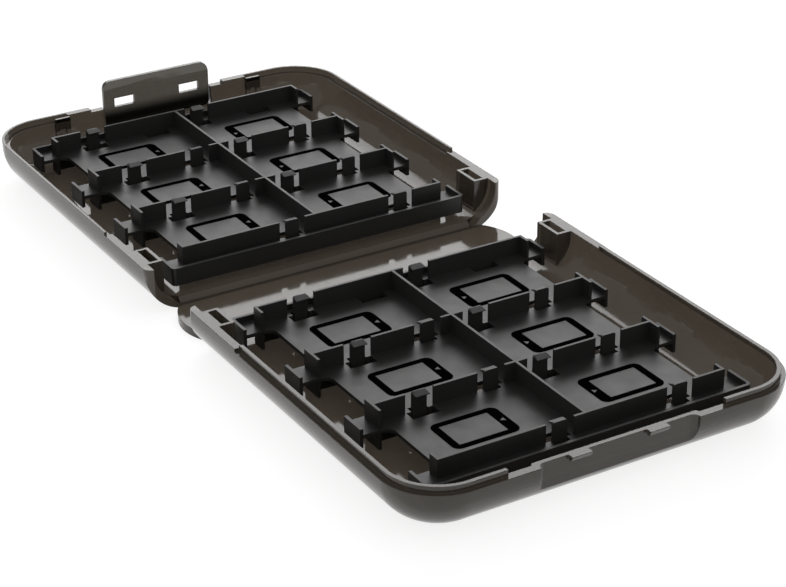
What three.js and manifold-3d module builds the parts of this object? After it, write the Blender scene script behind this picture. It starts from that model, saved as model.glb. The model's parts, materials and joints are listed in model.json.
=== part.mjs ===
// A hinged plastic case for small game cards, lying open.
// Two shallow shells are joined by a spine with two living hinges. Each shell
// holds a card tray with snap clips, and a flap on the lid latches the base.
// Millimetres, +Z up, origin under the middle of the spine, hinge lines along X,
// base towards -Y and lid towards +Y.

import * as THREE from 'three';
import { mergeVertices } from 'three/addons/utils/BufferGeometryUtils.js';
import Module from 'manifold-3d';

const wasm = await Module();
wasm.setup();

// Card and its cell
const cardLength = 31.0;
const cardWidth = 21.0;
const cardThickness = 3.3;
const cardEndPlay = 0.7;
const cardSidePlay = 1.8;
const cardLift = 0.2;

// Card tray
const rows = 3;
const trayWall = 0.6;
const trayFloor = 0.8;
const legHeight = 3.6;
const seatGap = 0.05;
const flangeThickness = 0.6;
const flangeRear = 2.4;
const flangeFront = 3.0;
const armLength = 4.1;
const armHalfWidth = 3.05;
const notchDepth = 1.9;
const notchRadius = 2.0;
const plateThickness = 0.7;
const plateHeight = 4.1;
const plateRise = 1.3;
const plateCorner = 1.0;
const rearShelf = 2.05;
const frontShelf = 2.85;

// Snap clips that hold the cards
const clipWidth = 3.2;
const clipThickness = 0.6;
const clipSideGap = 1.6;
const clipFootGap = 0.25;
const clipNear = 5.75;
const clipFar = 22.0;
const clipRootHeight = 1.2;
const clipRootGap = 0.3;
const hookReach = 1.2;
const hookThickness = 0.6;
const hookTip = 0.15;
const hookRidge = 0.2;
const clipCorner = 0.5;
const clipHoleReach = 2.6;
const clipHoleBack = 0.9;
const clipHoleEdge = 0.2;

// Shells
const shellWall = 1.8;
const lidGap = 0.3;
const sideRoom = 6.0;
const farRoom = 6.3;
const trayHingeRoom = 3.1;
const cornerRadius = 12.2;
const edgeRadius = 9.4;
const noseOverhang = 0.6;
const noseRadius = 2.0;

// Living hinges
const pivotHeight = 0.5;
const webThickness = 0.4;
const webWidth = 0.8;
const webInset = 0.9;
const foldGap = 0.25;
const foldClearance = 0.4;
const spineSideGap = 1.7;
const spineEndExtra = 2.4;

// Rim: a tongue on the base inside a lip on the lid
const rimStep = 0.75;
const rimGap = 0.2;
const lipThickness = 0.6;
const lipClearance = 0.3;
const plainRimLength = 10.1;

// Corner posts
const postWidth = 3.5;
const postLength = 7.65;
const postWall = 0.8;
const postSideGap = 0.1;
const postHingeGap = 1.35;
const postRoot = 2.5;

// Latch: a flap on the lid, and a recess with two catches in the base
const flapWidth = 28.4;
const flapThickness = 1.0;
const flapOverlap = 6.4;
const flapCorner = 2.0;
const flapGap = 0.3;
const flapSideGap = 0.3;
const fingerBand = 2.36;
const fingerBend = 0.5;
const recessDepth = 1.5;
const recessCorner = 1.4;
const recessWall = 1.0;
const recessMargin = 3.3;
const recessEndGap = 0.2;
const raisedRimWidth = 6.2;
const catchOffset = 6.5;
const catchWidth = 4.5;
const catchHeight = 1.0;
const catchReach = 1.4;
const catchFoot = 0.9;
const windowSideGap = 0.45;
const windowUnderGap = 0.2;
const windowOverGap = 1.1;

// Ribs inside the lid's far wall that guide the tongue
const guideWidth = 3.8;
const guideThickness = 0.75;
const guideGap = 0.35;
const guideRise = 0.4;
const guideHeight = 2.7;
const guideLegWidth = 1.0;
const guideLegHeight = 2.3;

// Facets of the rounded edges
const cornerFacets = 7;
const edgeFacets = 14;
const smallFacets = 2;
const notchFacets = 4;

// How far a cutting solid passes through what it cuts, or through a thin floor
const past = 5.0;
const justPast = 0.1;

// Heights
const deckTop = shellWall + legHeight + trayFloor;
const hookUnder = deckTop + cardThickness + cardLift;
const trayTop = hookUnder + hookThickness;
const rimHeight = trayTop + lidGap;
const plainRim = rimHeight - rimGap / 2;
const ledge = rimHeight - rimStep;
const lipTop = rimHeight + rimStep - rimGap;
const tongueInset = lipThickness + lipClearance;

// Tray outline
const rowPitch = cardWidth + cardSidePlay + trayWall;
const cellEnd = trayWall / 2 + cardLength + cardEndPlay;
const flangeEnd = cellEnd + flangeThickness;
const trayHalfWidth = flangeEnd + armLength;
const wallOut = (rows / 2) * rowPitch;
const trayRear = wallOut + trayWall / 2 + rearShelf + plateThickness;
const trayFront = -(wallOut + trayWall / 2 + frontShelf + plateThickness);
const trayLength = trayRear - trayFront;

// Shell outline
const hingeOffset = rimHeight - pivotHeight;
const halfWidth = trayHalfWidth + sideRoom + shellWall;
const reach = hingeOffset + trayHingeRoom + trayLength + farRoom + shellWall;
const floorHalfWidth = halfWidth - edgeRadius;
const webEndGap = webWidth / 2 + seatGap;
const panelEnd = hingeOffset - webEndGap;
const foldLine = hingeOffset + shellWall - pivotHeight;

// Spine outline
const spineHalf = halfWidth - shellWall - spineSideGap;
const spineEndRadius = hingeOffset + spineEndExtra;
const spineEndCentre = spineHalf - spineEndRadius;
const spineCorner = spineEndCentre + Math.sqrt(spineEndRadius ** 2 - panelEnd ** 2);
const hingeCutHalf = spineCorner + foldClearance;

// Posts and rim zones, measured from the spine
const postStart = foldLine + postHingeGap;
const steppedRimStart = postStart + postLength + plainRimLength;

// Latch zones across the far wall
const flapHalf = flapWidth / 2;
const notchHalf = flapHalf + flapSideGap;
const recessHalf = notchHalf + recessMargin;
const raisedRimStart = recessHalf + recessEndGap;
const raisedRimEnd = raisedRimStart + raisedRimWidth;
const recessPlane = reach - recessDepth;
const flapInner = recessPlane + flapGap;
const catchTop = ledge;
const catchBottom = catchTop - catchHeight;

// The flap's web leaves the rounded wall where the wall is just outside it
const flapWebOuter = flapInner + webThickness + seatGap;
const wallRoundCentre = reach - edgeRadius;
const notchFloor = edgeRadius - Math.sqrt(edgeRadius ** 2 - (flapWebOuter - wallRoundCentre) ** 2);
const flapPivotHeight = notchFloor + webEndGap;
const flapTop = rimHeight + flapOverlap;

const shellPlastic = { color: 0x4b453e, roughness: 0.12, metalness: 0.0 };
const trayPlastic = { color: 0x1c1c1a, roughness: 0.32, metalness: 0.0 };

// Solids from drawn geometry, and back

function solidOf(geometry) {
  const bare = geometry.clone();
  bare.deleteAttribute('normal');
  bare.deleteAttribute('uv');
  const merged = mergeVertices(bare);
  const mesh = new wasm.Mesh({
    numProp: 3,
    vertProperties: new Float32Array(merged.attributes.position.array),
    triVerts: new Uint32Array(merged.index.array),
  });
  return new wasm.Manifold(mesh);
}

function geometryOf(solid) {
  const mesh = solid.getMesh();
  const geometry = new THREE.BufferGeometry();
  geometry.setAttribute('position', new THREE.BufferAttribute(mesh.vertProperties, 3));
  geometry.setIndex(new THREE.BufferAttribute(mesh.triVerts, 1));
  geometry.computeVertexNormals();
  return geometry;
}

function piece(name, solid, plastic) {
  const mesh = new THREE.Mesh(geometryOf(solid), new THREE.MeshStandardMaterial(plastic));
  mesh.name = name;
  return mesh;
}

// A block between two values on each axis
function block(x0, x1, y0, y1, z0, z1) {
  const geometry = new THREE.BoxGeometry(x1 - x0, y1 - y0, z1 - z0);
  geometry.translate((x0 + x1) / 2, (y0 + y1) / 2, (z0 + z1) / 2);
  return solidOf(geometry);
}

// A plan outline raised from one height to another
function raised(shape, z0, z1, facets) {
  const geometry = new THREE.ExtrudeGeometry(shape, {
    depth: z1 - z0,
    bevelEnabled: false,
    curveSegments: facets,
  });
  geometry.translate(0, 0, z0);
  return solidOf(geometry);
}

// A profile in Y and Z drawn along X
function drawnAlongX(points, x0, x1) {
  const shape = new THREE.Shape(points.map(([y, z]) => new THREE.Vector2(y, z)));
  const geometry = new THREE.ExtrudeGeometry(shape, { depth: x1 - x0, bevelEnabled: false });
  geometry.applyMatrix4(new THREE.Matrix4().makeBasis(
    new THREE.Vector3(0, 1, 0),
    new THREE.Vector3(0, 0, 1),
    new THREE.Vector3(1, 0, 0),
  ));
  geometry.translate(x0, 0, 0);
  return solidOf(geometry);
}

// An outline in X and Z drawn through a place along Y
function facingFront(shape, y) {
  const geometry = new THREE.ExtrudeGeometry(shape, {
    depth: 2 * past,
    bevelEnabled: false,
    curveSegments: smallFacets,
  });
  geometry.rotateX(Math.PI / 2);
  geometry.translate(0, y + past, 0);
  return solidOf(geometry);
}

function joined(solids) {
  return solids.reduce((sum, next) => sum.add(next));
}

function onBothSides(make) {
  return make(1).add(make(-1));
}

// The same block on one side or mirrored to the other
function sideBlock(side, x0, x1, y0, y1, z0, z1) {
  return block(Math.min(side * x0, side * x1), Math.max(side * x0, side * x1), y0, y1, z0, z1);
}

function roundedRectangle(x0, x1, y0, y1, radius) {
  const shape = new THREE.Shape();
  shape.moveTo(x0 + radius, y0);
  shape.lineTo(x1 - radius, y0);
  shape.absarc(x1 - radius, y0 + radius, radius, -Math.PI / 2, 0);
  shape.lineTo(x1, y1 - radius);
  shape.absarc(x1 - radius, y1 - radius, radius, 0, Math.PI / 2);
  shape.lineTo(x0 + radius, y1);
  shape.absarc(x0 + radius, y1 - radius, radius, Math.PI / 2, Math.PI);
  shape.lineTo(x0, y0 + radius);
  shape.absarc(x0 + radius, y0 + radius, radius, Math.PI, 1.5 * Math.PI);
  return shape;
}

// Shells. Both are drawn with the far wall at +Y, and the base is turned round.

// The case seen from above, inset from its outer wall, running on past the spine
function caseOutline(inset) {
  const half = halfWidth - inset;
  const far = reach - inset;
  const radius = cornerRadius - inset;
  const shape = new THREE.Shape();
  shape.moveTo(-half, -reach);
  shape.lineTo(half, -reach);
  shape.lineTo(half, far - radius);
  shape.absarc(half - radius, far - radius, radius, 0, Math.PI / 2);
  shape.lineTo(-half + radius, far);
  shape.absarc(-half + radius, far - radius, radius, Math.PI / 2, Math.PI);
  return shape;
}

// A slab with a round bottom edge: half of the case, inset by a wall or by nothing
function roundEdgedSlab(inset) {
  const radius = edgeRadius - inset;
  const geometry = new THREE.ExtrudeGeometry(caseOutline(edgeRadius), {
    depth: past,
    bevelSize: radius,
    bevelThickness: radius,
    bevelSegments: edgeFacets,
    curveSegments: cornerFacets,
  });
  geometry.translate(0, 0, edgeRadius);
  return solidOf(geometry);
}

// Half of the closed case up to the lip, its side walls ending in round noses
function halfCaseSolid() {
  const noseEnd = hingeOffset - noseOverhang;
  const plan = roundedRectangle(-halfWidth, halfWidth, noseEnd, 2 * reach, noseRadius);
  return roundEdgedSlab(0).intersect(raised(plan, -past, lipTop, cornerFacets));
}

// Room for the hinge's V groove at the end of the floor
function hingeGroove() {
  const floorEnd = hingeOffset + webEndGap;
  const chamferStart = pivotHeight + webEndGap - foldGap;
  const chamferEnd = foldLine + foldGap;
  const profile = [
    [-past, -past],
    [floorEnd, -past],
    [floorEnd, chamferStart],
    [chamferEnd, shellWall],
    [chamferEnd, rimHeight + past],
    [-past, rimHeight + past],
  ];
  return drawnAlongX(profile, -hingeCutHalf, hingeCutHalf);
}

// The spine seen from above, with bulging ends
function spineOutline(clearance) {
  const half = panelEnd + clearance;
  const radius = spineEndRadius + clearance;
  const angle = Math.asin(half / radius);
  const shape = new THREE.Shape();
  shape.absarc(spineEndCentre, 0, radius, -angle, angle);
  shape.absarc(-spineEndCentre, 0, radius, Math.PI - angle, Math.PI + angle);
  return shape;
}

// Where the spine stands between the side walls when the case is closed
function foldedSpineRoom() {
  const start = hingeOffset - noseOverhang - past;
  const end = foldLine + foldClearance;
  const geometry = new THREE.ExtrudeGeometry(spineOutline(foldClearance), {
    depth: end - start,
    bevelEnabled: false,
    curveSegments: edgeFacets,
  });
  geometry.rotateX(Math.PI / 2);
  geometry.translate(0, end, rimHeight);
  const inside = hingeCutHalf - foldGap;
  const floorPart = block(-inside, inside, -reach, reach, -past, 3 * rimHeight);
  return solidOf(geometry).subtract(floorPart);
}

// A rectangular tube beside the hinge, cut to the case's rounded outside
function cornerPost(side, halfCase) {
  const outer = halfWidth - shellWall - postSideGap;
  const inner = outer - postWidth;
  const end = postStart + postLength;
  const tube = sideBlock(side, inner, outer + 2 * postSideGap, postStart, end, postRoot, plainRim);
  const hole = sideBlock(
    side, inner + postWall, outer - postWall,
    postStart + postWall, end - postWall, 0, plainRim + past,
  );
  return tube.subtract(hole).intersect(halfCase);
}

// The part of the rim that carries a tongue or a lip
function steppedRimZone() {
  const zone = block(-2 * reach, 2 * reach, steppedRimStart, 2 * reach, ledge, lipTop + past);
  const latchZone = block(
    -raisedRimEnd, raisedRimEnd, reach - cornerRadius, 2 * reach, 0, lipTop + past,
  );
  return zone.subtract(latchZone);
}

// The hollow half, with its posts, before the rim and the latch are cut
function halfShell() {
  const halfCase = halfCaseSolid();
  const posts = onBothSides((side) => cornerPost(side, halfCase));
  const hingeRim = block(
    -2 * reach, 2 * reach, -reach, steppedRimStart + rimGap, plainRim, lipTop + past,
  );
  return halfCase
    .subtract(roundEdgedSlab(shellWall))
    .add(posts)
    .subtract(hingeRim)
    .subtract(hingeGroove())
    .subtract(foldedSpineRoom());
}

// A catch on the recess wall that tapers towards its foot
function latchCatch(side) {
  const root = recessPlane - recessWall / 2;
  const profile = [
    [root, catchBottom],
    [recessPlane + catchFoot, catchBottom],
    [recessPlane + catchReach, catchTop],
    [root, catchTop],
  ];
  const ends = [side * catchOffset, side * (catchOffset + catchWidth)];
  return drawnAlongX(profile, Math.min(...ends), Math.max(...ends));
}

// The base: the far wall steps inwards behind the latch, with round corners
function baseShell() {
  const tongueInside = raised(caseOutline(tongueInset), 0, lipTop + past, cornerFacets);
  const outsideTongue = steppedRimZone().subtract(tongueInside);
  const rimHalf = raisedRimEnd + recessEndGap;
  const latchRim = block(-rimHalf, rimHalf, reach - cornerRadius, 2 * reach, ledge, lipTop + past);
  const panelHalf = recessHalf + recessWall;
  const panelPlan = roundedRectangle(
    -panelHalf, panelHalf, recessPlane - recessWall, reach - shellWall / 2, recessCorner / 2,
  );
  const panel = raised(panelPlan, shellWall / 2, lipTop, smallFacets);
  const recessPlan = roundedRectangle(
    -recessHalf, recessHalf, recessPlane, 2 * reach, recessCorner,
  );
  const recess = raised(recessPlan, -past, lipTop + past, cornerFacets);
  return halfShell()
    .add(panel.intersect(halfCaseSolid()))
    .subtract(outsideTongue)
    .subtract(latchRim)
    .subtract(recess)
    .add(onBothSides(latchCatch));
}

// A rib that stands behind the tongue of the closed base, on two legs
function tongueGuide(side) {
  const outer = reach - shellWall - guideGap;
  const inner = outer - guideThickness;
  const start = raisedRimEnd - recessEndGap;
  const end = start + guideWidth;
  const top = rimHeight + guideRise;
  const bottom = top - guideHeight;
  const inWall = reach - shellWall / 2;
  const blade = sideBlock(side, start, end, inner, outer, bottom, top);
  const shoulder = sideBlock(side, start, end, inner, inWall, bottom, ledge);
  const legs = [start, end - guideLegWidth].map((x) => sideBlock(
    side, x, x + guideLegWidth, inner, inWall, bottom - guideLegHeight, ledge,
  ));
  return joined([blade, shoulder, ...legs]);
}

function lidShell() {
  const insideLip = raised(caseOutline(lipThickness), 0, lipTop + past, cornerFacets);
  const lipRoom = steppedRimZone().intersect(insideLip);
  const farY = reach - cornerRadius;
  const lowRim = block(
    -raisedRimStart, raisedRimStart, farY, 2 * reach, plainRim, lipTop + past,
  );
  const flapNotch = block(-notchHalf, notchHalf, farY, 2 * reach, notchFloor, lipTop + past);
  const guides = onBothSides((side) => tongueGuide(side).intersect(halfCaseSolid()));
  return halfShell()
    .subtract(lipRoom)
    .subtract(lowRim)
    .subtract(flapNotch)
    .add(guides);
}

// Spine panel, chamfered along both hinges so that each folds a quarter turn
function spinePanel() {
  const chamferStart = pivotHeight + webEndGap - foldGap;
  const topHalf = hingeOffset - (shellWall - pivotHeight) - foldGap;
  const profile = [
    [-panelEnd, 0],
    [panelEnd, 0],
    [panelEnd, chamferStart],
    [topHalf, shellWall],
    [-topHalf, shellWall],
    [-panelEnd, chamferStart],
  ];
  const geometry = new THREE.ExtrudeGeometry(spineOutline(0), {
    depth: shellWall,
    bevelEnabled: false,
    curveSegments: edgeFacets,
  });
  return solidOf(geometry).intersect(drawnAlongX(profile, -halfWidth, halfWidth));
}

// The thin strip of a living hinge, lying round its own bending line
function hingeWeb() {
  const half = floorHalfWidth - webInset;
  return block(
    -half, half, hingeOffset - webWidth / 2, hingeOffset + webWidth / 2,
    pivotHeight - webThickness / 2, pivotHeight + webThickness / 2,
  );
}

function flapWeb() {
  return block(
    seatGap - flapHalf, flapHalf - seatGap, flapInner, flapInner + webThickness,
    flapPivotHeight - webWidth / 2, flapPivotHeight + webWidth / 2,
  );
}

// Latch flap: a plate with two windows and a finger band that leans outwards
function latchFlap() {
  const bottom = flapPivotHeight + webEndGap;
  const bend = flapTop - fingerBand;
  const outer = flapInner + flapThickness;
  const profile = [
    [flapInner, bottom],
    [outer - flapThickness / 2, bottom],
    [outer, bottom + flapThickness / 2],
    [outer, bend],
    [outer + fingerBend, flapTop],
    [flapInner + fingerBend, flapTop],
    [flapInner, bend],
  ];
  const plate = drawnAlongX(profile, -flapHalf, flapHalf);
  const face = roundedRectangle(-flapHalf, flapHalf, bottom - past, flapTop, flapCorner);
  const windows = onBothSides((side) => sideBlock(
    side, catchOffset - windowSideGap, catchOffset + catchWidth + windowSideGap,
    flapInner - past, outer + past,
    2 * rimHeight - catchTop - windowOverGap, 2 * rimHeight - catchBottom + windowUnderGap,
  ));
  return plate.intersect(facingFront(face, flapInner)).subtract(windows);
}

// Trays. Y is measured from the middle row, the front is -Y, heights are the case's.

// Walls from the front to the back, each with the clips it carries: where a clip
// stands along X, and whether its hook faces the rear (1) or the front (-1)
const trayWalls = [
  { name: 'front', index: 0, clips: [[-clipNear, 1], [clipFar, 1]] },
  { name: 'lower', index: 1, clips: [[-clipFar, -1], [-clipNear, 1], [clipNear, -1], [clipFar, 1]] },
  { name: 'upper', index: 2, clips: [[-clipFar, -1], [-clipNear, 1], [clipNear, -1], [clipFar, 1]] },
  { name: 'back', index: 3, clips: [[-clipFar, -1], [clipNear, -1]] },
];

function wallY(index) {
  return (index - rows / 2) * rowPitch;
}

// A thumb notch at each end of every row
function thumbNotches() {
  const edge = cellEnd - notchDepth;
  const far = 2 * trayHalfWidth;
  const notches = [];
  for (let row = 0; row < rows; row += 1) {
    const low = wallY(row) + armHalfWidth;
    const high = wallY(row + 1) - armHalfWidth;
    const right = roundedRectangle(edge, far, low, high, notchRadius);
    const left = roundedRectangle(-far, -edge, low, high, notchRadius);
    notches.push(raised(right, 0, rimHeight, notchFacets));
    notches.push(raised(left, 0, rimHeight, notchFacets));
  }
  return joined(notches);
}

// Floor with an upright plate round its outer edge, cut through by the notches
function trayDeck() {
  const outline = roundedRectangle(-trayHalfWidth, trayHalfWidth, trayFront, trayRear, plateCorner);
  const inside = roundedRectangle(
    -trayHalfWidth + plateThickness, trayHalfWidth - plateThickness,
    trayFront + plateThickness, trayRear - plateThickness, plateCorner / 2,
  );
  const plateTop = deckTop + plateRise;
  const underDeck = raised(inside, 0, deckTop - trayFloor, smallFacets);
  const overDeck = raised(inside, deckTop, plateTop + past, smallFacets);
  return raised(outline, plateTop - plateHeight, plateTop, smallFacets)
    .subtract(underDeck)
    .subtract(overDeck)
    .subtract(thumbNotches());
}

// One wall across both columns, down to the shell's floor, with its end flanges
function rowWall(index) {
  const y = wallY(index);
  const half = trayWall / 2;
  const rear = index === rows ? half : flangeRear;
  const front = index === 0 ? half : flangeFront;
  const foot = shellWall + seatGap;
  const end = (cellEnd + flangeEnd) / 2;
  const wall = block(-end, end, y - half, y + half, foot, trayTop);
  const flanges = onBothSides((side) => sideBlock(
    side, cellEnd, flangeEnd, y - front, y + rear, foot, trayTop,
  ));
  return wall.add(flanges);
}

// A hole through the floor beside a wall, towards the rear (1) or the front (-1)
function floorHole(index, x, facing, halfWidth, reachFromWall) {
  const near = wallY(index) + facing * trayWall / 2;
  const far = near + facing * reachFromWall;
  return block(
    x - halfWidth, x + halfWidth, Math.min(near, far), Math.max(near, far),
    deckTop - trayFloor - justPast, deckTop + justPast,
  );
}

// Room for a clip: a slot in the wall, a passage for its foot, and holes before and behind it
function clipRoom(index, x, facing) {
  const y = wallY(index);
  const across = trayWall / 2 + justPast;
  const slotHalf = clipWidth / 2 + clipSideGap;
  const footHalf = clipWidth / 2 + clipFootGap;
  const slot = block(x - slotHalf, x + slotHalf, y - across, y + across, deckTop, trayTop + past);
  const passage = block(
    x - footHalf, x + footHalf, y - across, y + across,
    shellWall + clipRootHeight, deckTop + justPast,
  );
  const before = floorHole(index, x, facing, slotHalf - clipHoleEdge, clipHoleReach);
  const behind = floorHole(index, x, -facing, footHalf, clipHoleBack);
  return joined([slot, passage, before, behind]);
}

// A floor hole along the back wall, where it carries no clip
function backHole(x) {
  return floorHole(rows, x, -1, clipWidth / 2 + clipSideGap - clipHoleEdge, clipHoleReach);
}

function cardTray() {
  const divider = block(
    -trayWall / 2, trayWall / 2, wallY(0), wallY(rows), shellWall + seatGap, trayTop,
  );
  const walls = trayWalls.map((wall) => rowWall(wall.index));
  const rooms = trayWalls.flatMap((wall) => (
    wall.clips.map(([x, facing]) => clipRoom(wall.index, x, facing))
  ));
  const backHoles = [-clipNear, clipFar].map(backHole);
  return joined([trayDeck(), divider, ...walls]).subtract(joined([...rooms, ...backHoles]));
}

// A springy clip: a narrow upright with a hook over the card's edge
function snapClip(index, x, facing) {
  const y = wallY(index);
  const half = clipThickness / 2;
  const tip = trayWall / 2 + hookReach;
  const bottom = shellWall + clipRootHeight + clipRootGap;
  const profile = [
    [-half, bottom],
    [half, bottom],
    [half, hookUnder],
    [tip, hookUnder],
    [tip, hookUnder + hookTip],
    [hookRidge - half, trayTop],
    [-half, trayTop],
  ];
  const placed = profile.map(([across, z]) => [y + facing * across, z]);
  const outline = facing > 0 ? placed : placed.reverse();
  const left = x - clipWidth / 2;
  const right = x + clipWidth / 2;
  const face = roundedRectangle(left, right, bottom - past, trayTop, clipCorner);
  return drawnAlongX(outline, left, right).intersect(facingFront(face, y));
}

// One tray with all its clips, named after the half of the case that holds it
function trayGroup(half, y) {
  const group = new THREE.Group();
  group.position.y = y;
  group.add(piece(`${half}_card_tray`, cardTray(), trayPlastic));
  for (const wall of trayWalls) {
    wall.clips.forEach(([x, facing], place) => {
      const name = `${half}_clip_${wall.name}_${place + 1}`;
      group.add(piece(name, snapClip(wall.index, x, facing), trayPlastic));
    });
  }
  return group;
}

// The whole case, opened flat

const baseHalf = new THREE.Group();
baseHalf.rotation.z = Math.PI;
baseHalf.add(piece('base_shell', baseShell(), shellPlastic));
baseHalf.add(piece('base_hinge_web', hingeWeb(), shellPlastic));

const lidHalf = new THREE.Group();
lidHalf.add(piece('lid_shell', lidShell(), shellPlastic));
lidHalf.add(piece('lid_hinge_web', hingeWeb(), shellPlastic));
lidHalf.add(piece('latch_flap', latchFlap(), shellPlastic));
lidHalf.add(piece('flap_hinge_web', flapWeb(), shellPlastic));

const cardCase = new THREE.Group();
cardCase.add(baseHalf);
cardCase.add(lidHalf);
cardCase.add(piece('spine_panel', spinePanel(), shellPlastic));
cardCase.add(trayGroup('base', -(hingeOffset + trayHingeRoom + trayRear)));
cardCase.add(trayGroup('lid', hingeOffset + trayHingeRoom - trayFront));

export default cardCase;
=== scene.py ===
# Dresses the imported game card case: plastics, card marks, living hinges, stage, light and camera.
import json
import math

import bmesh
import bpy
from mathutils import Matrix, Vector


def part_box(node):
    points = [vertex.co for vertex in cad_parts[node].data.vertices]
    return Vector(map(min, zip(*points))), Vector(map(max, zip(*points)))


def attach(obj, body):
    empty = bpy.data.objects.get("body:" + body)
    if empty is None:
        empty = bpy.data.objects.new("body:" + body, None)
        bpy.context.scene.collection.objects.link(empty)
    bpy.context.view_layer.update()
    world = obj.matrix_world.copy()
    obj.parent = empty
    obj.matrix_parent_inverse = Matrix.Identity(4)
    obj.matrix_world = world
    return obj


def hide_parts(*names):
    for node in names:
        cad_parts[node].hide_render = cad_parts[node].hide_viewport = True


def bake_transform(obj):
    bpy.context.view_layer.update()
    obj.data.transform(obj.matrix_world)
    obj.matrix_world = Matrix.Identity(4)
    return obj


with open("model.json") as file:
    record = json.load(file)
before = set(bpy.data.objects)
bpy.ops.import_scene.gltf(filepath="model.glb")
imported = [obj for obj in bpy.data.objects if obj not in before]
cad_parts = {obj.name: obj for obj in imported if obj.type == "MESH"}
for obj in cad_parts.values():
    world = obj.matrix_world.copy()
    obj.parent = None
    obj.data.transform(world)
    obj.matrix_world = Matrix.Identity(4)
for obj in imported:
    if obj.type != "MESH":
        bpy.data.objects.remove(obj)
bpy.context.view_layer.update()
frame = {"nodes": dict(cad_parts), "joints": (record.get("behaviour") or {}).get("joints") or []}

MM = 0.001

# Camera, solved from the photograph's straight edges
CAMERA_PLACE = (-219.8 * MM, -387.1 * MM, 222.5 * MM)
CAMERA_AZIMUTH = math.radians(30.68)
CAMERA_DOWN = math.radians(26.79)
CAMERA_ROLL = -0.0069
SENSOR_WIDTH = 36.0
LENS = 104.96

# Edges of the mouldings
SHELL_EDGE = 0.2 * MM
TRAY_EDGE = 0.1 * MM
EDGE_SAMPLES = 6
EDGE_ANGLE = math.radians(35)
WELD_DISTANCE = 0.002 * MM

# Card marks printed on the tray floors
DECK_TOP = 6.2 * MM
PRINT_LIFT = 0.02 * MM
PRINT_THICKNESS = 0.05 * MM
MARK_NEAR = 9.4 * MM
MARK_FAR = 24.2 * MM
MARK_HALF = 5.1 * MM
MARK_CORNER = 1.6 * MM
FIELD_NEAR = 11.75 * MM
FIELD_FAR = 22.6 * MM
FIELD_HALF = 3.8 * MM
FIELD_CORNER = 0.25 * MM
ARROW_BASE = 10.1 * MM
ARROW_TIP = 11.3 * MM
ARROW_HALF = 0.75 * MM
CORNER_STEPS = 6

# The part of a noise's range that is used. A noise's scale is in waves per metre.
NOISE_LOW = 0.3
NOISE_HIGH = 0.7

# Smoke plastic
SMOKE_DARK = (0.104, 0.085, 0.066)
SMOKE_LIGHT = (0.121, 0.099, 0.077)
SMOKE_CLOUDS = 35
SMOKE_SCUFFS = 420
SMOKE_ROUGHNESS = (0.06, 0.11)
SMOKE_RIPPLES = 90
SMOKE_RIPPLE_STRENGTH = 0.04
SMOKE_RIPPLE_DEPTH = 0.2 * MM
SMOKE_IOR = 1.5
SMOKE_CLEARNESS = 0.5
GROOVE_HALF = 1.5 * MM
FLAP_TINT = (1.27, 1.40, 1.52)
# Painted shade on the flap: its colour fades to near black towards its foot, between the two heights
# below.
FLAP_FOOT_PAINTED_SHADE = 0.04
FLAP_FADE_LOW = 7.6 * MM
FLAP_FADE_HIGH = 11.2 * MM
# Painted shade in the lid's two tongue guides: the box it fills, and how dark it makes them.
GUIDE_MIDDLE = (25.9 * MM, 95.8 * MM, 9.4 * MM)
GUIDE_HALF = (2.0 * MM, 0.6 * MM, 1.5 * MM)
GUIDE_PAINTED_SHADE = 0.12

# Tray plastic
TRAY_DARK = (0.021, 0.021, 0.020)
TRAY_LIGHT = (0.026, 0.026, 0.025)
TRAY_CLOUDS = 60
TRAY_SHEEN = 300
TRAY_ROUGHNESS = (0.40, 0.46)
TRAY_GRAIN = 6000
TRAY_GRAIN_STRENGTH = 0.05
TRAY_GRAIN_DEPTH = 0.03 * MM
TRAY_IOR = 1.49

# Ink
INK_DARK = (0.0008, 0.0008, 0.0008)
INK_LIGHT = (0.002, 0.002, 0.002)
INK_FLECKS = 2500
INK_ROUGHNESS = (0.5, 0.6)

# Living hinges
WEB_REACH = 0.45 * MM
WEB_THICK = 0.4 * MM
WEB_WAIST = 0.7
WEB_STEPS = 12
ALONG_Y = Vector((0, 1, 0))
ALONG_Z = Vector((0, 0, 1))

# Stage and light
WHITE = (1, 1, 1, 1)
FLOOR_DROP = 0.05 * MM
FLOOR_HALF = 3.0
FLOOR_SHADE = 0.35
FLOOR_ROUGHNESS = 0.9
FLOOR_GLOW = 0.82
FLOOR_GLOW_THROUGH = 1.0
SKY_LEVEL = 0.55
SWEEP_LEVEL = 1.0
SWEEP_TOP = 0.2
CEILING_LEVEL = 0.25
LAMP_AZIMUTH = math.radians(31)
LAMP_HEIGHT = math.radians(27)
LAMP_DISTANCE = 0.9
LAMP_SIZE = (1.0, 0.5)
LAMP_RADIANCE = 2.6


def joint_place(name):
    joint = next(j for j in frame["joints"] if j["name"] == name)
    return Vector(joint["pos_m"])


def direction(azimuth, height):
    """The way to a point at an azimuth from +Y towards +X and a height above the level."""
    return Vector((
        math.sin(azimuth) * math.cos(height),
        math.cos(azimuth) * math.cos(height),
        math.sin(height),
    ))


def add_piece(name, made, material):
    """Turns a bmesh into an object of the scene, in one material."""
    mesh = bpy.data.meshes.new(name)
    made.to_mesh(mesh)
    made.free()
    mesh.materials.append(material)
    piece = bpy.data.objects.new(name, mesh)
    bpy.context.collection.objects.link(piece)
    return piece


# Node trees

def new_material(name):
    material = bpy.data.materials.new(name)
    material.use_nodes = True
    tree = material.node_tree
    return material, tree, tree.nodes["Principled BSDF"]


def feed(tree, node, values):
    """Feeds a node's inputs, each by its name or number, from a socket or with a plain value."""
    for key, value in values.items():
        if isinstance(value, bpy.types.NodeSocket):
            tree.links.new(value, node.inputs[key])
        else:
            node.inputs[key].default_value = value


def coordinates(tree, kind):
    """X, Y and Z in one kind of coordinates."""
    place = tree.nodes.new("ShaderNodeTexCoord")
    axes = tree.nodes.new("ShaderNodeSeparateXYZ")
    feed(tree, axes, {0: place.outputs[kind]})
    return [axes.outputs[name] for name in "XYZ"]


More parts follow.
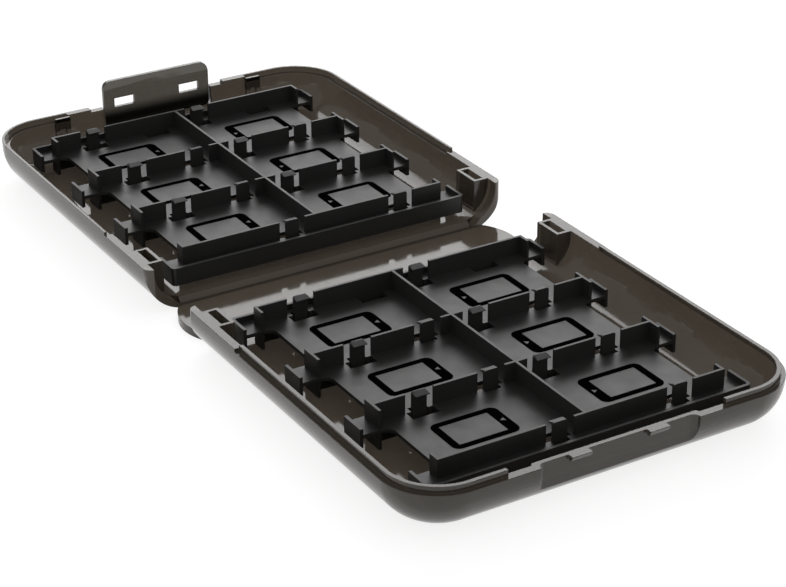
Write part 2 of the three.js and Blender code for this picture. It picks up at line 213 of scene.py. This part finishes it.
def math_node(tree, operation, *values):
    node = tree.nodes.new("ShaderNodeMath")
    node.operation = operation
    feed(tree, node, dict(enumerate(values)))
    return node.outputs[0]


def mix_node(tree, factor, a, b):
    """The number a where the factor is 0, and b where it is 1."""
    node = tree.nodes.new("ShaderNodeMix")
    feed(tree, node, {"Factor": factor, "A": a, "B": b})
    return node.outputs["Result"]


def map_range(tree, value, start, end, low, high, shape="LINEAR"):
    """Maps a value from start and end to low and high."""
    node = tree.nodes.new("ShaderNodeMapRange")
    node.interpolation_type = shape
    feed(tree, node, {"Value": value, "From Min": start, "From Max": end, "To Min": low, "To Max": high})
    return node.outputs["Result"]


def object_noise(tree, scale, detail):
    """Noise in the object's own coordinates, whose unit is the metre."""
    place = tree.nodes.new("ShaderNodeTexCoord")
    noise = tree.nodes.new("ShaderNodeTexNoise")
    feed(tree, noise, {"Vector": place.outputs["Object"], "Scale": scale, "Detail": detail})
    return noise.outputs["Fac"]


def spread(tree, noise, low, high):
    """Maps the middle of a noise's range to low and high."""
    return map_range(tree, noise, NOISE_LOW, NOISE_HIGH, low, high)


def two_tone(tree, noise, dark, light):
    """A colour that a noise moves between dark and light."""
    ramp = tree.nodes.new("ShaderNodeValToRGB")
    ends = ramp.color_ramp.elements
    for end, position, colour in zip(ends, (NOISE_LOW, NOISE_HIGH), (dark, light)):
        end.position = position
        end.color = (*colour, 1)
    feed(tree, ramp, {"Fac": noise})
    return ramp.outputs["Color"]


def toned(tree, colour, tone):
    """A colour made darker or lighter by a number."""
    scaled = tree.nodes.new("ShaderNodeVectorMath")
    scaled.operation = "SCALE"
    feed(tree, scaled, {0: colour, "Scale": tone})
    return scaled.outputs["Vector"]


def rounded_surface(tree, height, strength, depth, radius):
    """Rounds the edges a piece shows the light, under a fine surface relief."""
    edge = tree.nodes.new("ShaderNodeBevel")
    edge.samples = EDGE_SAMPLES
    feed(tree, edge, {"Radius": radius})
    relief = tree.nodes.new("ShaderNodeBump")
    feed(tree, relief, {
        "Strength": strength,
        "Distance": depth,
        "Height": height,
        "Normal": edge.outputs["Normal"],
    })
    return relief.outputs["Normal"]


# Plastics and ink

def clearness(tree):
    """How clear the smoke plastic is: hazy all over, and matt in the grooves of the two hinges."""
    y = coordinates(tree, "Object")[1]
    side = math_node(tree, "ABSOLUTE", y)
    groove = math_node(tree, "COMPARE", side, joint_place("lid_hinge").y, GROOVE_HALF)
    return mix_node(tree, groove, SMOKE_CLEARNESS, 0.0)


def flap_colour_with_painted_shade(tree, colour):
    """The flap's lighter, greyer smoke, with painted shade that deepens it to near black towards the
    flap's foot.
    """
    tinted = tree.nodes.new("ShaderNodeVectorMath")
    tinted.operation = "MULTIPLY"
    feed(tree, tinted, {0: colour, 1: FLAP_TINT})
    z = coordinates(tree, "Object")[2]
    # Painted shade: near black at the flap's foot, fading out upwards.
    painted_shade = map_range(tree, z, FLAP_FADE_LOW, FLAP_FADE_HIGH, FLAP_FOOT_PAINTED_SHADE, 1.0, "SMOOTHSTEP")
    return toned(tree, tinted.outputs["Vector"], painted_shade)


def shell_colour_with_painted_shade(tree, colour):
    """The shells' smoke, with painted shade on the lid's two thick tongue guides."""
    x, y, z = coordinates(tree, "Object")
    side = math_node(tree, "ABSOLUTE", x)
    inside = 1.0
    for value, middle, half in zip((side, y, z), GUIDE_MIDDLE, GUIDE_HALF):
        near = math_node(tree, "COMPARE", value, middle, half)
        inside = math_node(tree, "MULTIPLY", near, inside)
    # Painted shade inside the guides' box.
    return toned(tree, colour, mix_node(tree, inside, 1.0, GUIDE_PAINTED_SHADE))


def smoke_plastic(name, with_painted_shade):
    """Smoke-brown plastic, part clear and part hazy, with faint flow clouds, hairline scuffs and the
    painted shade that its colour function adds.
    """
    material, tree, shader = new_material(name)
    clouds = object_noise(tree, SMOKE_CLOUDS, detail=3)
    scuffs = object_noise(tree, SMOKE_SCUFFS, detail=4)
    ripples = object_noise(tree, SMOKE_RIPPLES, detail=2)
    feed(tree, shader, {
        "Base Color": with_painted_shade(tree, two_tone(tree, clouds, SMOKE_DARK, SMOKE_LIGHT)),
        "Roughness": spread(tree, scuffs, *SMOKE_ROUGHNESS),
        "IOR": SMOKE_IOR,
        "Transmission Weight": clearness(tree),
        "Normal": rounded_surface(tree, ripples, SMOKE_RIPPLE_STRENGTH, SMOKE_RIPPLE_DEPTH, SHELL_EDGE),
    })
    return material


def tray_plastic():
    """Satin black plastic with the fine grain of a spark-eroded mould."""
    material, tree, shader = new_material("black_tray_plastic")
    clouds = object_noise(tree, TRAY_CLOUDS, detail=3)
    sheen = object_noise(tree, TRAY_SHEEN, detail=3)
    grain = object_noise(tree, TRAY_GRAIN, detail=2)
    feed(tree, shader, {
        "Base Color": two_tone(tree, clouds, TRAY_DARK, TRAY_LIGHT),
        "Roughness": spread(tree, sheen, *TRAY_ROUGHNESS),
        "IOR": TRAY_IOR,
        "Normal": rounded_surface(tree, grain, TRAY_GRAIN_STRENGTH, TRAY_GRAIN_DEPTH, TRAY_EDGE),
    })
    return material


def mark_ink():
    """Dull black ink that stays darker than the satin floor round it."""
    material, tree, shader = new_material("card_mark_ink")
    flecks = object_noise(tree, INK_FLECKS, detail=3)
    feed(tree, shader, {
        "Base Color": two_tone(tree, flecks, INK_DARK, INK_LIGHT),
        "Roughness": spread(tree, flecks, *INK_ROUGHNESS),
        "Specular IOR Level": 0.0,
    })
    return material


# Edges

def smooth_group():
    """A geometry group that shades smooth everywhere but across sharp edges."""
    group = bpy.data.node_groups.new("smooth_but_sharp_edges", "GeometryNodeTree")
    for way in ("INPUT", "OUTPUT"):
        group.interface.new_socket("Geometry", in_out=way, socket_type="NodeSocketGeometry")
    source = group.nodes.new("NodeGroupInput")
    result = group.nodes.new("NodeGroupOutput")
    angle = group.nodes.new("GeometryNodeInputMeshEdgeAngle")
    gentle = group.nodes.new("FunctionNodeCompare")
    gentle.data_type = "FLOAT"
    gentle.operation = "LESS_THAN"
    edges = group.nodes.new("GeometryNodeSetShadeSmooth")
    edges.domain = "EDGE"
    faces = group.nodes.new("GeometryNodeSetShadeSmooth")
    feed(group, gentle, {"A": angle.outputs["Unsigned Angle"], "B": EDGE_ANGLE})
    feed(group, edges, {"Geometry": source.outputs[0], "Shade Smooth": gentle.outputs["Result"]})
    feed(group, faces, {"Geometry": edges.outputs["Geometry"]})
    feed(group, result, {0: faces.outputs["Geometry"]})
    return group


def shade_smooth(piece, group):
    """Shades curved faces smooth and flat faces flat with modifiers, so the mesh stays as it is."""
    weld = piece.modifiers.new("weld", "WELD")
    weld.merge_threshold = WELD_DISTANCE
    smooth = piece.modifiers.new("smooth", "NODES")
    smooth.node_group = group
    flat = piece.modifiers.new("flat_faces", "WEIGHTED_NORMAL")
    flat.keep_sharp = True


def dress(piece, material):
    piece.data.materials.clear()
    piece.data.materials.append(material)


# Card marks

def rounded_corners(x0, x1, half, radius):
    """The points of a rounded rectangle about Y = 0, counter-clockwise."""
    corners = [
        (x1 - radius, half - radius),
        (x0 + radius, half - radius),
        (x0 + radius, radius - half),
        (x1 - radius, radius - half),
    ]
    points = []
    for turn, (x, y) in enumerate(corners):
        for step in range(CORNER_STEPS + 1):
            angle = (turn + step / CORNER_STEPS) * math.pi / 2
            points.append((x + radius * math.cos(angle), y + radius * math.sin(angle)))
    return points


def filled_outline(outline, holes):
    """A flat mesh inside an outline and outside its holes."""
    made = bmesh.new()
    edges = []
    for loop in [outline, *holes]:
        ring = [made.verts.new((x, y, 0)) for x, y in loop]
        edges += [made.edges.new((a, b)) for a, b in zip(ring, ring[1:] + ring[:1])]
    bmesh.ops.triangle_fill(made, use_beauty=True, use_dissolve=False, edges=edges)
    return made


def one_mark():
    """The mesh of one printed card outline, with its field and its arrow left open."""
    outline = rounded_corners(MARK_NEAR, MARK_FAR, MARK_HALF, MARK_CORNER)
    field = rounded_corners(FIELD_NEAR, FIELD_FAR, FIELD_HALF, FIELD_CORNER)
    arrow = [(ARROW_BASE, -ARROW_HALF), (ARROW_TIP, 0), (ARROW_BASE, ARROW_HALF)]
    made = filled_outline(outline, [field, arrow])
    bmesh.ops.recalc_face_normals(made, faces=made.faces)
    solid = bmesh.ops.extrude_face_region(made, geom=made.faces[:])
    top = [v for v in solid["geom"] if isinstance(v, bmesh.types.BMVert)]
    bmesh.ops.translate(made, verts=top, vec=(0, 0, PRINT_THICKNESS))
    bmesh.ops.recalc_face_normals(made, faces=made.faces)
    mesh = bpy.data.meshes.new("one_mark")
    made.to_mesh(mesh)
    made.free()
    return mesh


def card_marks(half, mark, material):
    """The printed card outlines of one tray, one in each cell."""
    low = joint_place(f"snap_{half}_lower_1").y
    high = joint_place(f"snap_{half}_upper_1").y
    pitch = high - low
    middle = (low + high) / 2
    made = bmesh.new()
    for row in (-1, 0, 1):
        for turn in (0, math.pi):
            before = len(made.verts)
            made.from_mesh(mark)
            made.verts.ensure_lookup_table()
            place = Matrix.Translation((0, middle + row * pitch, DECK_TOP + PRINT_LIFT))
            bmesh.ops.transform(
                made, matrix=place @ Matrix.Rotation(turn, 4, "Z"), verts=made.verts[before:])
    piece = add_piece(f"{half}_card_marks", made, material)
    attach(piece, half)


# Living hinges

def hinge_strip(name, half_length, centre, along, across, material):
    """A thin strip, thinnest on its bending line, closed at its ends."""
    made = bmesh.new()
    rings = []
    for step in range(WEB_STEPS + 1):
        t = 2 * step / WEB_STEPS - 1
        half = WEB_THICK / 2 * (WEB_WAIST + (1 - WEB_WAIST) * t * t)
        middle = centre + along * (t * WEB_REACH)
        corners = [(-half_length, -half), (half_length, -half), (half_length, half), (-half_length, half)]
        rings.append([made.verts.new(middle + Vector((x, 0, 0)) + across * d) for x, d in corners])
    for a, b in zip(rings, rings[1:]):
        for i in range(4):
            made.faces.new((a[i], a[(i + 1) % 4], b[(i + 1) % 4], b[i]))
    made.faces.new(rings[0])
    made.faces.new(rings[-1])
    bmesh.ops.recalc_face_normals(made, faces=made.faces)
    return add_piece(name, made, material)


def living_hinge(joint, node, along, across, material):
    """A hinge strip at the joint between the two bodies it joins, in place of the hinge's web part, which
    is hidden.
    """
    low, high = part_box(node)
    centre = Vector((0, joint_place(joint).y, joint_place(joint).z))
    strip = hinge_strip(f"{joint}_strip", (high.x - low.x) / 2, centre, along, across, material)
    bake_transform(strip)
    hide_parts(node)


# Stage

def seen_white(tree):
    """The floor's own white: for the camera and gloss, for the view through plastic, and 0 for others."""
    path = tree.nodes.new("ShaderNodeLightPath")
    direct = math_node(tree, "MAXIMUM", path.outputs["Is Camera Ray"], path.outputs["Is Glossy Ray"])
    glow = math_node(tree, "MULTIPLY", direct, FLOOR_GLOW)
    return mix_node(tree, path.outputs["Is Transmission Ray"], glow, FLOOR_GLOW_THROUGH)


def white_floor():
    """A pale matt floor that looks white and still shows the case's shadow."""
    material, tree, shader = new_material("white_floor")
    feed(tree, shader, {
        "Base Color": (FLOOR_SHADE, FLOOR_SHADE, FLOOR_SHADE, 1),
        "Roughness": FLOOR_ROUGHNESS,
        "Specular IOR Level": 0.0,
        "Emission Color": WHITE,
        "Emission Strength": seen_white(tree),
    })
    return material


def stage_floor():
    made = bmesh.new()
    bmesh.ops.create_grid(made, x_segments=1, y_segments=1, size=FLOOR_HALF)
    floor = add_piece("floor", made, white_floor())
    floor.location.z = -FLOOR_DROP


def studio_world():
    """White to the camera. Gloss sees a white sweep near the horizon under a dimmer ceiling."""
    world = bpy.data.worlds.new("studio")
    world.use_nodes = True
    tree = world.node_tree
    path = tree.nodes.new("ShaderNodeLightPath")
    height = coordinates(tree, "Generated")[2]
    sweep = map_range(tree, height, 0.0, SWEEP_TOP, SWEEP_LEVEL, CEILING_LEVEL)
    light = mix_node(tree, path.outputs["Is Glossy Ray"], SKY_LEVEL, sweep)
    seen = math_node(tree, "MAXIMUM", path.outputs["Is Camera Ray"], path.outputs["Is Transmission Ray"])
    feed(tree, tree.nodes["Background"], {"Color": WHITE, "Strength": mix_node(tree, seen, light, 1.0)})
    bpy.context.scene.world = world


def soft_lamp():
    """A large soft lamp behind the case, whose sheen lies on every level face."""
    data = bpy.data.lights.new("soft_lamp", "AREA")
    data.shape = "RECTANGLE"
    data.size, data.size_y = LAMP_SIZE
    data.energy = LAMP_RADIANCE * math.pi * data.size * data.size_y
    towards = direction(LAMP_AZIMUTH, LAMP_HEIGHT)
    lamp = bpy.data.objects.new("soft_lamp", data)
    lamp.location = towards * LAMP_DISTANCE
    lamp.rotation_euler = towards.to_track_quat("Z", "Y").to_euler()
    lamp.visible_camera = False
    lamp.visible_transmission = False
    bpy.context.collection.objects.link(lamp)


def photo_camera():
    forward = direction(CAMERA_AZIMUTH, -CAMERA_DOWN)
    right = Vector((math.cos(CAMERA_AZIMUTH), -math.sin(CAMERA_AZIMUTH), 0))
    turned = Matrix.Rotation(CAMERA_ROLL, 3, -forward) @ right
    up = turned.cross(forward)
    data = bpy.data.cameras.new("photo_camera")
    data.sensor_width = SENSOR_WIDTH
    data.lens = LENS
    camera = bpy.data.objects.new("photo_camera", data)
    axes = Matrix((turned, up, -forward)).transposed()
    camera.matrix_world = Matrix.Translation(CAMERA_PLACE) @ axes.to_4x4()
    bpy.context.collection.objects.link(camera)
    bpy.context.scene.camera = camera


# The whole scene

bpy.context.scene.view_settings.view_transform = "Standard"
photo_camera()
stage_floor()
studio_world()
soft_lamp()

# Both smoke materials carry painted shade: the shell's in the tongue guides, the flap's towards its foot.
shell = smoke_plastic("smoke_shell_plastic", shell_colour_with_painted_shade)
flap = smoke_plastic("smoke_flap_plastic", flap_colour_with_painted_shade)
tray = tray_plastic()
smooth = smooth_group()
for name, node in frame["nodes"].items():
    plastic = shell if name.endswith(("shell", "panel", "web")) else tray
    dress(node, flap if name == "latch_flap" else plastic)
    shade_smooth(node, smooth)

mark = one_mark()
ink = mark_ink()
card_marks("base", mark, ink)
card_marks("lid", mark, ink)

living_hinge("base_hinge", "base_hinge_web", ALONG_Y, ALONG_Z, shell)
living_hinge("lid_hinge", "lid_hinge_web", ALONG_Y, ALONG_Z, shell)
living_hinge("flap_hinge", "flap_hinge_web", ALONG_Z, ALONG_Y, flap)
